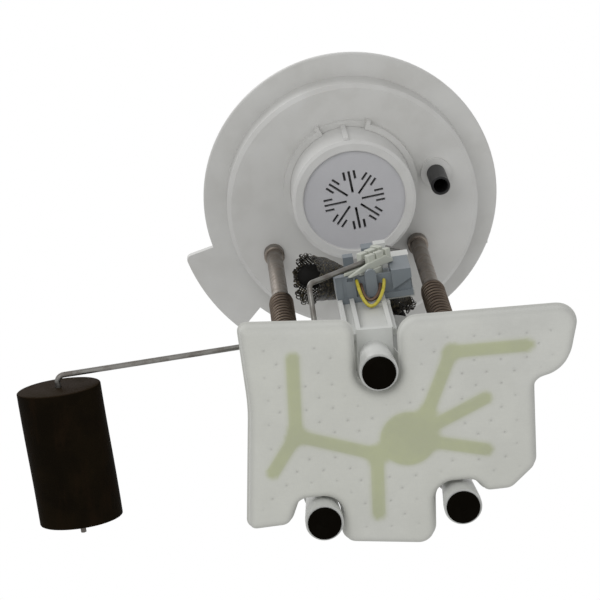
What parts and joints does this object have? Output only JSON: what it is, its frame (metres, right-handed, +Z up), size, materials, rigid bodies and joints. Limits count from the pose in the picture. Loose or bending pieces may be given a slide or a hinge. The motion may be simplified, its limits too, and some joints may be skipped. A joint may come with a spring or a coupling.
{
  "type": "fuel pump module",
  "caption": "In-tank fuel pump module: round cover, spring-loaded carrier on guide rods, flat strainer, level sender with float arm.",
  "frame": {"origin": "centre of the cover rim's underside, where it rests on the tank", "axes": "+Z up through the cover, +X along the line through both guide rods, away from the float"},
  "size_m": [0.246, 0.172, 0.2481],
  "materials": {
    "cover_plastic": "satin",
    "valve_plastic": "satin",
    "frame_plastic": "satin",
    "pump_plastic": "satin",
    "pump_steel": "satin",
    "rod_steel": "satin",
    "spring_steel": "oiled",
    "arm_steel": "satin",
    "contact_metal": "tinned",
    "iron": "dark",
    "black_rubber": "matte",
    "black_tube": "satin",
    "strainer_felt": "felted",
    "skeleton_plastic": "satin",
    "sender_plastic": "satin",
    "rocker_plastic": "satin",
    "float_foam": "porous",
    "yellow_lead": "satin",
    "brown_lead": "satin"
  },
  "bodies": {
    "flange": {"flange_cover": "cover_plastic", "pipe_stubs": "cover_plastic", "connector_shell": "cover_plastic", "connector_pins": "contact_metal", "guide_rod_left": "rod_steel", "guide_rod_right": "rod_steel", "spring_stop_clips": "rod_steel", "rod_end_clips": "rod_steel", "spring_left": "spring_steel", "spring_right": "spring_steel", "vent_valve_housing": "cover_plastic", "vent_valve_lid": "cover_plastic", "vent_valve_seat": "black_rubber", "return_tube": "black_tube", "fuel_hose": "black_tube", "hose_sleeve": "black_tube"},
    "vent_float": {"vent_valve_float": "valve_plastic"},
    "carrier": {"carrier_frame": "frame_plastic", "pump_can": "pump_steel", "pump_inlet_cover": "pump_plastic", "impeller_housing": "pump_plastic", "lower_bush": "contact_metal", "upper_bush": "contact_metal", "field_magnets": "iron", "brushes": "iron", "pump_end_cap": "pump_plastic", "pump_terminals": "contact_metal", "isolator_sleeve": "black_rubber", "outlet_elbow": "pump_plastic", "rubber_foot_1": "black_rubber", "rubber_foot_2": "black_rubber", "rubber_foot_3": "black_rubber", "strainer_bag": "strainer_felt", "strainer_skeleton": "skeleton_plastic", "strainer_neck": "frame_plastic", "sender_body": "sender_plastic", "resistor_card": "sender_plastic", "sender_leaf": "contact_metal", "sender_lead_yellow": "yellow_lead", "sender_lead_brown": "brown_lead"},
    "rotor": {"rotor_shaft": "arm_steel", "armature": "iron", "commutator": "contact_metal", "impeller": "pump_plastic"},
    "check_valve": {"check_valve_poppet": "pump_plastic"},
    "arm": {"wiper_rocker": "rocker_plastic", "wiper_contact": "contact_metal", "float_arm": "arm_steel"},
    "float": {"float": "float_foam"}
  },
  "joints": [
    {"name": "carrier_slide", "type": "slide", "parent": "flange", "child": "carrier", "axis": [0, 0, 1], "range_m": [0, 0.02], "stiffness_N_per_m": 300, "springref_m": -0.03, "deforming": ["spring_left", "spring_right", "fuel_hose", "hose_sleeve"]},
    {"name": "rotor_spin", "type": "hinge", "parent": "carrier", "child": "rotor", "pos_m": [0.0078, 0.0456, -0.16], "axis": [0, 0, 1], "continuous": true},
    {"name": "check_valve_lift", "type": "slide", "parent": "carrier", "child": "check_valve", "axis": [0, 0, 1], "range_m": [0, 0.0015], "stiffness_N_per_m": 40, "springref_m": -0.002},
    {"name": "vent_float_lift", "type": "slide", "parent": "flange", "child": "vent_float", "axis": [0, 0, 1], "range_m": [0, 0.0032]},
    {"name": "arm_swing", "type": "hinge", "parent": "carrier", "child": "arm", "pos_m": [0, 0, -0.145], "axis": [0.0698, 0.9976, 0], "range_deg": [0, 58]},
    {"name": "float_spin", "type": "hinge", "parent": "arm", "child": "float", "pos_m": [-0.14226, 0.05145, -0.195], "axis": [0.0698, 0.9976, 0], "continuous": true}
  ]
}
